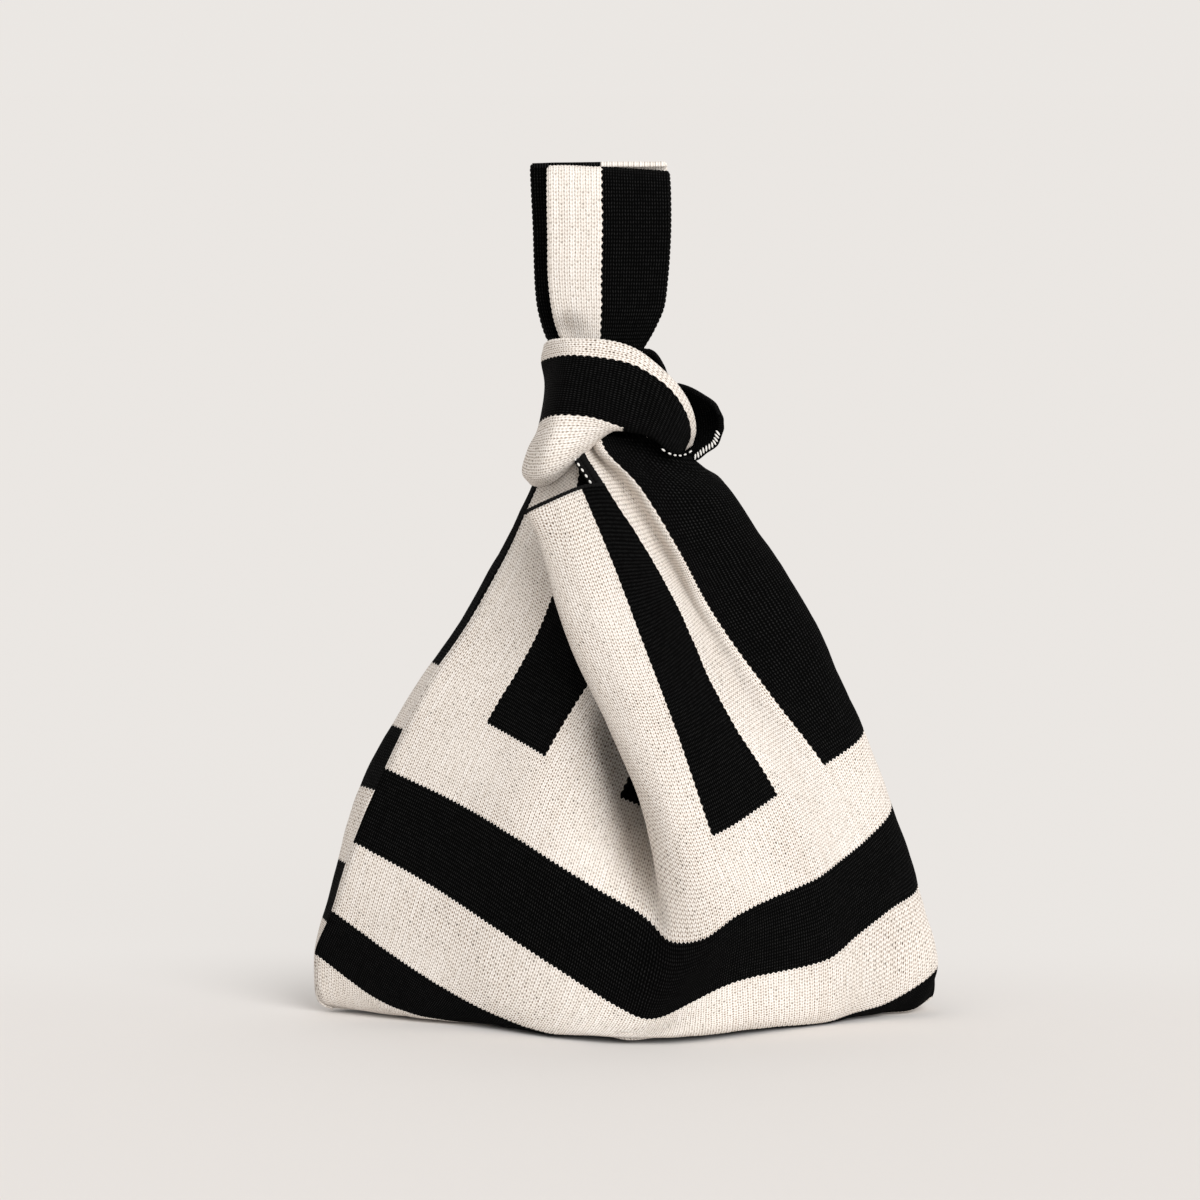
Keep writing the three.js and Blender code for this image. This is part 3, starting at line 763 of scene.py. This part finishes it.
def fuzzy(wire, shade, full):
    """Places the fuzz of a single yarn in a material and gives its colour."""
    place = wire.node("ShaderNodeTexCoord")
    fuzz = wire.node("ShaderNodeGroup", node_tree=FUZZ)
    wire.feed(fuzz.inputs["Place"], place.outputs["Object"])
    fuzz.inputs["Shade"].default_value = colour(shade)
    fuzz.inputs["Full"].default_value = colour(full)
    return fuzz.outputs["Colour"]


def yarn_material(name, black_where):
    """Single stitches of the same yarns, each in the colour of the cloth that it stands on."""
    material, wire, shader = matte_material(name)
    cloth = wire.node("ShaderNodeUVMap", uv_map="cloth")
    place = wire.split(cloth.outputs[0])
    black = black_where(wire, place["X"], place["Y"])
    cream = fuzzy(wire, CREAM_PAINTED_SHADE_AND_FUZZ, CREAM)
    dark = fuzzy(wire, BLACK_PAINTED_SHADE_AND_FUZZ, BLACK_YARN)
    wire.feed(shader.inputs["Base Color"], wire.mix(black, cream, dark))
    return material


def thread_material(name, rgb):
    """A thread of one colour."""
    material, wire, shader = matte_material(name)
    darker = tuple(THREAD_SHADE * c for c in rgb)
    wire.feed(shader.inputs["Base Color"], fuzzy(wire, darker, rgb))
    return material


# Where the black is, as masks on the flat cloth
def beyond(wire, value, limit):
    return wire.math("GREATER_THAN", value, limit * MM)


def short_of(wire, value, limit):
    return wire.math("LESS_THAN", value, limit * MM)


def between(wire, value, low, high):
    return wire.math("MULTIPLY", beyond(wire, value, low), short_of(wire, value, high))


def panel_black(wire, across, along):
    """Level bands low on the panel, lengthwise stripes above them."""
    low_from, low_to, high_from, high_to, stripes_from = BANDS
    low_band = between(wire, along, low_from, low_to)
    high_band = between(wire, along, high_from, high_to)
    level = wire.math("ADD", low_band, high_band)
    stripe = wire.math("FLOOR", wire.math("DIVIDE", across, STRIPE * MM))
    odd = wire.math("MODULO", wire.math("ADD", stripe, WHOLE_PAIRS), 2.0)
    upper = beyond(wire, along, stripes_from)
    lower = wire.flipped(upper)
    return wire.math("ADD", wire.math("MULTIPLY", level, lower), wire.math("MULTIPLY", odd, upper))


def strap_black(wire, across, along):
    return beyond(wire, across, STRAP_CREAM)


def back_strap_black(wire, across, along):
    return beyond(wire, across, BACK_STRAP_CREAM)


def collar_black(wire, across, along):
    """Black between two cream edges; past the lobe only the upper edge is cream."""
    under_edge = beyond(wire, across, KNOT_CREAM_EDGE)
    inner = short_of(wire, across, KNOT_BLACK_TO)
    past_lobe = beyond(wire, along, LOBE_END)
    return wire.math("MULTIPLY", under_edge, wire.math("MAXIMUM", inner, past_lobe))


def tail_black(wire, across, along):
    """The tail is all black; behind the knot a cream lower edge comes in on a slant."""
    turned = wire.math("MAXIMUM", wire.math("SUBTRACT", TAIL_LENGTH * MM, along), 0.0)
    return short_of(wire, wire.math("SUBTRACT", across, turned), KNOT_BLACK_TO)


PANEL_KNIT = knit_material("panel knit", panel_black)
STRAP_KNIT = knit_material("front strap knit", strap_black, STRAP_WALE, STRAP_HOLES)
BACK_STRAP_KNIT = knit_material("back strap knit", back_strap_black, STRAP_WALE, BACK_STRAP_HOLES)
COLLAR_KNIT = knit_material("knot strap knit", collar_black)
TAIL_KNIT = knit_material("knot tail knit", tail_black)
PANEL_YARN = yarn_material("panel seam yarn", panel_black)
STRAP_YARN = yarn_material("front strap edge yarn", strap_black)
BACK_STRAP_YARN = yarn_material("back strap edge yarn", back_strap_black)
COLLAR_YARN = yarn_material("knot edge yarn", collar_black)
TAIL_YARN = yarn_material("tail edge yarn", tail_black)
BLACK_THREAD = thread_material("black edging thread", BLACK_YARN)
WHITE_THREAD = thread_material("white overlock thread", WHITE)


# The pouch
def front_net():
    """The front's guide net, with a column more in the stripe that sinks in as a valley."""
    net = [[(x, y, z, across, along) for across, x, y, z in row] for along, row in FRONT_ROWS]
    net = np.array(net, dtype=float)
    valley = net[:, VALLEY_COLUMN - 1: VALLEY_COLUMN + 1].mean(axis=1, keepdims=True)
    valley[..., 1] += np.interp(valley[..., 4], VALLEY_AT, VALLEY_DEPTH)
    return np.concatenate([net[:, :VALLEY_COLUMN], valley, net[:, VALLEY_COLUMN:]], axis=1)


def back_net(front):
    """The back drapes as the front does, turned to face away. It shares the front's side edges, swells
    out past the left one, and its rows sit higher there."""
    net = front.copy()
    net[..., 1] *= -1
    tuck = net[BACK_TUCK_ROWS, BACK_TUCK_COLUMNS]
    tuck[..., 1] = np.maximum(tuck[..., 1], BACK_TUCK)
    sewn = slice(0, MOUTH_ROW + 1)
    for edge in (0, -1):
        net[sewn, edge, 1] = front[sewn, edge, 1]
    along = front[:, 0, 4]
    turn_share = np.clip(along / CORNER_REACH, LEAST_TURN, 1)
    net[:, -2, :3] = net[:, -1, :3] + np.outer(turn_share, RIGHT_TURN)
    net[MOUTH_ROW:, SHORT_STRAP_COLUMN: -2, 1] *= BACK_ROOT_PULL
    beside = net[:, :1].copy()
    beside[:, 0, 0] -= np.interp(along, SWELL_AT, SWELL_OUT)
    beside[:, 0, 1] += np.interp(along, SWELL_AT, SWELL_BACK)
    beside[:, 0, 3] = SWELL_ACROSS
    net[:, 1, 0] -= SWELL_PULL * np.interp(along, SWELL_AT, SWELL_OUT) / max(SWELL_OUT)
    net = np.concatenate([net[:, :1], beside, net[:, 1:]], axis=1)
    rise = np.interp(net[..., 4], RISE_AT, ROWS_RISE)
    net[..., 4] -= rise * np.exp(-((net[..., 3] / RISE_REACH) ** 2))
    net[..., 3] = PANEL_WIDTH - net[..., 3]
    net = rest_on_floor(net, GUIDE_CLEAR)
    return net[:, ::-1]


MOUTH_LINE = MOUTH_ROW * ROW_STEPS
LONG_EDGE = LONG_STRAP_COLUMN * COLUMN_STEPS
SHORT_EDGE = SHORT_STRAP_COLUMN * COLUMN_STEPS


def creased(grid):
    """Drops the cloth behind the crease that runs down beside the roll, as far as the roll's foot."""
    grid = grid.copy()
    across, along = grid[..., 3], grid[..., 4]
    behind = np.clip((across - np.interp(along, CREASE_AT, CREASE_ACROSS)) / CREASE_TURN, 0, 1)
    before_roll = np.clip((ROLL_FOOT - across) / CREASE_TURN, 0, 1)
    grid[..., 1] += np.interp(along, CREASE_AT, CREASE_DEPTH) * behind * before_roll
    return grid


def draped(net, seed):
    """A panel's grid: smooth through its guides, with large and small dents, resting on the floor."""
    grid = relax(surface(net, ROW_STEPS, COLUMN_STEPS), PANEL_EVENED)
    grid = rumple(grid, *BIG_DENTS, seed)
    grid = rumple(grid, *SMALL_DENTS, seed + SEED_STEP)
    return rest_on_floor(grid, DRAPE_CLEAR)


def sewn_fullness(grid):
    """Full thickness inside the panel, thin where it is sewn to the other one."""
    inside = np.minimum(np.minimum(grid[..., 3], PANEL_WIDTH - grid[..., 3]), grid[..., 4])
    return np.clip(inside / SEWN_TAPER, 0, 1)


FRONT = creased(draped(front_net(), seed=1.0))
BACK = draped(back_net(front_net()), seed=40.0)
for side, back_side in ((0, -1), (-1, 0)):
    BACK[: MOUTH_LINE + 1, back_side, :3] = FRONT[: MOUTH_LINE + 1, side, :3]
BACK_TURN = BACK.shape[1] - 1
BACK_LONG_EDGE = BACK_TURN - LONG_EDGE - COLUMN_STEPS
BACK_SHORT_EDGE = BACK_TURN - SHORT_EDGE - COLUMN_STEPS


def above_mouth(grid, strap_columns):
    """Marks the faces above the mouth, apart from those of the short strap."""
    cut = np.zeros((grid.shape[0] - 1, grid.shape[1] - 1), dtype=bool)
    cut[MOUTH_LINE:] = True
    cut[MOUTH_LINE:, strap_columns] = False
    return cut


front_panel = knit_sheet(
    "front_cloth", FRONT, PANEL_KNIT, above_mouth(FRONT, slice(SHORT_EDGE, None)), sewn_fullness(FRONT))
front_stem = knit_sheet("long_strap_front_stem_cloth", FRONT[MOUTH_LINE:, : LONG_EDGE + 1], PANEL_KNIT)
back_panel = knit_sheet(
    "back_cloth", BACK, PANEL_KNIT, above_mouth(BACK, slice(0, BACK_SHORT_EDGE)), sewn_fullness(BACK))
back_stem = knit_sheet("long_strap_back_stem_cloth", BACK[MOUTH_LINE:, BACK_LONG_EDGE:], PANEL_KNIT)


# The wrist loop
def leg_net(rows, width, turned, sag):
    """A leg's net from its rows; where it is turned, its width runs from right to left."""
    net = []
    along = 0.0
    before = None
    for z, left, right, y, curl in rows:
        if before:
            along += math.dist((y, z), before)
        before = (y, z)
        row = []
        for share in np.linspace(0, 1, LEG_COLUMNS):
            x = right + (left - right) * share if turned else left + (right - left) * share
            low = sag * share ** SAG_CURVE * min(max((z - SAG_FROM) / SAG_REACH, 0), 1)
            bent = y + curl * abs(2 * share - 1) ** CURL_POWER
            row.append((x, bent, z - low, width * share, along))
        net.append(row)
    return np.array(net, dtype=float)


def standing_leg(rows, width, turned, sag, seed):
    """A leg's grid with soft dents."""
    return rumple(surface(leg_net(rows, width, turned, sag), *LEG_STEPS), *LEG_DENTS, seed)


def dented(grid):
    """Presses the dent above the knot into the front leg."""
    dent_x, dent_z, radius, depth = DENT
    away = ((grid[..., 0] - dent_x) ** 2 + (grid[..., 2] - dent_z) ** 2) / radius ** 2
    grid[..., 1] += depth * np.exp(-away)
    return grid


FRONT_STRAP = dented(standing_leg(FRONT_LEG, STRAP_WIDTH, False, FRONT_SAG, seed=9.0))
BACK_STRAP = standing_leg(BACK_LEG, BACK_STRAP_WIDTH, True, BACK_SAG, seed=15.0)
front_leg = knit_sheet("wrist_loop_front_cloth", FRONT_STRAP, STRAP_KNIT)
back_leg = knit_sheet("wrist_loop_back_cloth", BACK_STRAP, BACK_STRAP_KNIT)


# The knot
def band_net(ribs):
    """A wrapped strap's net; a rib without places across is measured from its upper edge."""
    net = []
    along = 0.0
    middle = len(ribs[0]) // 2
    for k, rib in enumerate(ribs):
        points = [place[-3:] for place in rib]
        across = [place[0] for place in rib]
        if len(rib[0]) == 3:
            steps = [math.dist(start, end) for start, end in zip(points, points[1:])]
            across = np.concatenate([[0], np.cumsum(steps)])
        if k:
            along += math.dist(points[middle], ribs[k - 1][middle][-3:])
        net.append([(*point, place, along) for point, place in zip(points, across)])
    return np.array(net, dtype=float)


def wrapped_band(ribs, across_steps, seed):
    """A wrapped strap's grid, evened out, with soft dents."""
    grid = relax(surface(band_net(ribs), WRAP_STEPS, across_steps), WRAP_EVENED)
    return rumple(grid, *WRAP_DENTS, seed)


FRONT_WRAP = wrapped_band(FRONT_BAND, FRONT_WRAP_ACROSS, seed=21.0)
BACK_WRAP = wrapped_band(BACK_BAND, BACK_WRAP_ACROSS, seed=27.0)
front_band = knit_sheet("knot_front_wrap", FRONT_WRAP, COLLAR_KNIT)
back_band = knit_sheet("knot_back_wrap", BACK_WRAP, TAIL_KNIT)


# Edgings, seams and overlocked thread
def edge_line(grid, column):
    """The middle of a sheet's edge, half its thickness in from the outside."""
    line = grid[:, column].copy()
    line[:, :3] -= normals_of(grid)[:, column] * CLOTH / 2
    return line


def both_edges(grid):
    """The middles of a sheet's two long edges."""
    return [edge_line(grid, 0), edge_line(grid, -1)]


def seam_line(side):
    """A side seam up to the mouth, drawn in at the lower corner, where it turns under."""
    line = FRONT[: MOUTH_LINE + 1, side].copy()
    under = np.clip(1 - line[:, 4] / CORNER_REACH, 0, 1)
    line[:, 0] -= np.sign(line[:, 0]) * CORNER_DRAW * under
    line[:, 2] += CORNER_DRAW * under
    return line


front_mouth = FRONT[MOUTH_LINE, LONG_EDGE: SHORT_EDGE + 1, :3]
front_edging = stitch_rows("front_mouth_edge_stitches", [front_mouth], BLACK_THREAD, MOUTH_BEADS)
back_mouth = BACK[MOUTH_LINE, BACK_SHORT_EDGE: BACK_LONG_EDGE + 1, :3]
back_edging = stitch_rows(
    "back_mouth_edge_stitches", [back_mouth], BLACK_THREAD, MOUTH_BEADS, outside=TO_BACK)
root_edge = FRONT[MOUTH_LINE:, SHORT_EDGE, :3]
root_edges = [root_edge + ROOT_EDGE_MOVE, root_edge[:ROW_STEPS] + ROOT_SECOND_EDGE_MOVE]
root_edging = stitch_rows("short_strap_edge_stitches", root_edges, BLACK_THREAD, ROOT_BEADS)
root_thread = stitch_rows(
    "short_strap_edge_thread", [root_edge + ROOT_DASHES_MOVE], WHITE_THREAD, ROOT_DASHES)
left_line = seam_line(0) + LEFT_SEAM_MOVE
left_seam = stitch_rows(
    "left_seam_stitches", [left_line], PANEL_YARN, SIDE_SEAM_BEADS, outside=TO_LEFT)
right_line = seam_line(-1) + RIGHT_SEAM_MOVE
right_seam = stitch_rows(
    "right_seam_stitches", [right_line], PANEL_YARN, SIDE_SEAM_BEADS, outside=TO_RIGHT)
bottom_line = FRONT[0] + BOTTOM_SEAM_MOVE
bottom_seam = stitch_rows(
    "bottom_seam_stitches", [bottom_line], PANEL_YARN, BOTTOM_SEAM_BEADS, outside=DOWNWARDS)
front_leg_edges = stitch_rows(
    "wrist_loop_front_edge_stitches", both_edges(FRONT_STRAP), STRAP_YARN, EDGE_STITCHES)
back_leg_edges = stitch_rows(
    "wrist_loop_back_edge_stitches", both_edges(BACK_STRAP), BACK_STRAP_YARN, EDGE_STITCHES)
loop_line = FRONT_STRAP[-1] + LOOP_SEAM_MOVE
loop_seam = stitch_rows(
    "wrist_loop_seam_stitches", [loop_line], STRAP_YARN, LOOP_SEAM_BEADS, outside=UPWARDS)
collar_edges = stitch_rows(
    "knot_front_edge_stitches", [edge_line(FRONT_WRAP, 0)], COLLAR_YARN, EDGE_STITCHES)
tail_edges = stitch_rows("knot_back_edge_stitches", [edge_line(BACK_WRAP, 0)], TAIL_YARN, EDGE_STITCHES)
band_seam = stitch_rows(
    "knot_band_seam_stitches", [FRONT_WRAP[0]], COLLAR_YARN, BAND_SEAM_BEADS, outside=BAND_END_LEFT)
collar_thread = stitch_rows("knot_front_thread", [COLLAR_THREAD], WHITE_THREAD, COLLAR_DASHES)
thread_from, thread_to = (rib * WRAP_STEPS for rib in TAIL_THREAD_RIBS)
tail_edge = edge_line(BACK_WRAP, -1)[thread_from: thread_to + 1, :3]
tail_thread = stitch_rows(
    "knot_back_thread", [tail_edge + TAIL_DASHES_MOVE], WHITE_THREAD, TAIL_DASHES, lean=TAIL_DASH_LEAN)

# What each piece moves with
for piece in (front_panel, back_panel, front_edging, back_edging, root_edging, root_thread,
              left_seam, right_seam, bottom_seam):
    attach(piece, "bag")
for piece in (front_band, back_band, collar_edges, tail_edges, band_seam, collar_thread, tail_thread):
    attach(piece, "knot")
for piece in (front_stem, back_stem):
    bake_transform(piece)
for piece in (front_leg, back_leg, front_leg_edges, back_leg_edges, loop_seam):
    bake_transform(piece)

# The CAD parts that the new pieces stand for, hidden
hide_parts("front_panel", "short_strap_front_root")
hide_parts("back_panel", "short_strap_back_root")
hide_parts("left_side_seam")
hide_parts("right_side_seam")
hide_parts("bottom_seam")
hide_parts("front_mouth_edging")
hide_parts("back_mouth_edging")
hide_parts("long_strap_front_stem")
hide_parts("long_strap_back_stem")
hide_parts("long_strap_front_gather", "wrist_loop_front")
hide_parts("long_strap_back_gather", "wrist_loop_back")
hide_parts("wrist_loop_seam")
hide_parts("knot_front_band")
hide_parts("knot_back_band")
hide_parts("knot_band_seam")
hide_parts("knot_front_overlock")
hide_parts("knot_back_overlock")


# Stage, light and camera
def floor_material():
    """A pale floor that the camera sees fade into the backdrop behind the bag."""
    material, wire, shader = matte_material("pale floor", FLOOR_ROUGHNESS, 0.0)
    shader.inputs["Base Color"].default_value = colour(FLOOR)
    backdrop = wire.node("ShaderNodeEmission")
    backdrop.inputs["Color"].default_value = colour(BACKGROUND)
    place = wire.node("ShaderNodeTexCoord")
    fade = wire.node("ShaderNodeMapRange", interpolation_type="SMOOTHSTEP")
    for socket, value in zip(fade.inputs[1:5], (BACKDROP_FROM, BACKDROP_TO, 0.0, BACKDROP_SHARE)):
        socket.default_value = value
    wire.feed(fade.inputs["Value"], wire.split(place.outputs["Object"])["Y"])
    path = wire.node("ShaderNodeLightPath")
    blend = wire.node("ShaderNodeMixShader")
    wire.feed(blend.inputs[0], wire.math("MULTIPLY", fade.outputs[0], path.outputs["Is Camera Ray"]))
    wire.feed(blend.inputs[1], shader.outputs[0])
    wire.feed(blend.inputs[2], backdrop.outputs[0])
    wire.feed(material.node_tree.nodes["Material Output"].inputs["Surface"], blend.outputs[0])
    return material


def studio_floor():
    bpy.ops.object.select_all(action="DESELECT")
    bpy.ops.mesh.primitive_plane_add(size=FLOOR_SIZE)
    floor = bpy.context.active_object
    floor.name = "floor"
    floor.data.materials.append(floor_material())


def soft_world():
    """Soft light from all round; seen directly, the world is the backdrop's colour."""
    world = bpy.data.worlds.new("soft studio")
    bpy.context.scene.world = world
    world.use_nodes = True
    wire = Wiring(world.node_tree)
    light = world.node_tree.nodes["Background"]
    light.inputs["Color"].default_value = colour(SKY)
    light.inputs["Strength"].default_value = SKY_STRENGTH
    seen = wire.node("ShaderNodeBackground")
    seen.inputs["Color"].default_value = colour(BACKGROUND)
    path = wire.node("ShaderNodeLightPath")
    direct = wire.math("MAXIMUM", path.outputs["Is Camera Ray"], path.outputs["Is Glossy Ray"])
    direct = wire.math("MAXIMUM", direct, path.outputs["Is Transmission Ray"])
    choice = wire.node("ShaderNodeMixShader")
    wire.feed(choice.inputs[0], direct)
    wire.feed(choice.inputs[1], light.outputs[0])
    wire.feed(choice.inputs[2], seen.outputs[0])
    wire.feed(world.node_tree.nodes["World Output"].inputs["Surface"], choice.outputs[0])


def soft_key():
    lamp = bpy.data.lights.new("soft key", "SUN")
    lamp.energy = KEY_STRENGTH
    lamp.angle = KEY_SPREAD
    key = bpy.data.objects.new("soft key", lamp)
    key.rotation_euler = KEY_DIRECTION.to_track_quat("-Z", "Y").to_euler()
    bpy.context.scene.collection.objects.link(key)


def camera():
    data = bpy.data.cameras.new("camera")
    data.sensor_width = CAMERA_SENSOR
    data.lens = CAMERA_SENSOR * CAMERA_DISTANCE / CAMERA_VIEW_WIDTH
    eye = bpy.data.objects.new("camera", data)
    away = Vector((0, -math.cos(CAMERA_TILT), math.sin(CAMERA_TILT)))
    eye.location = CAMERA_TARGET + away * CAMERA_DISTANCE
    eye.rotation_euler = (math.radians(90) - CAMERA_TILT, 0, 0)
    bpy.context.scene.collection.objects.link(eye)
    bpy.context.scene.camera = eye


studio_floor()
soft_world()
soft_key()
camera()
bpy.context.scene.view_settings.view_transform = "Standard"
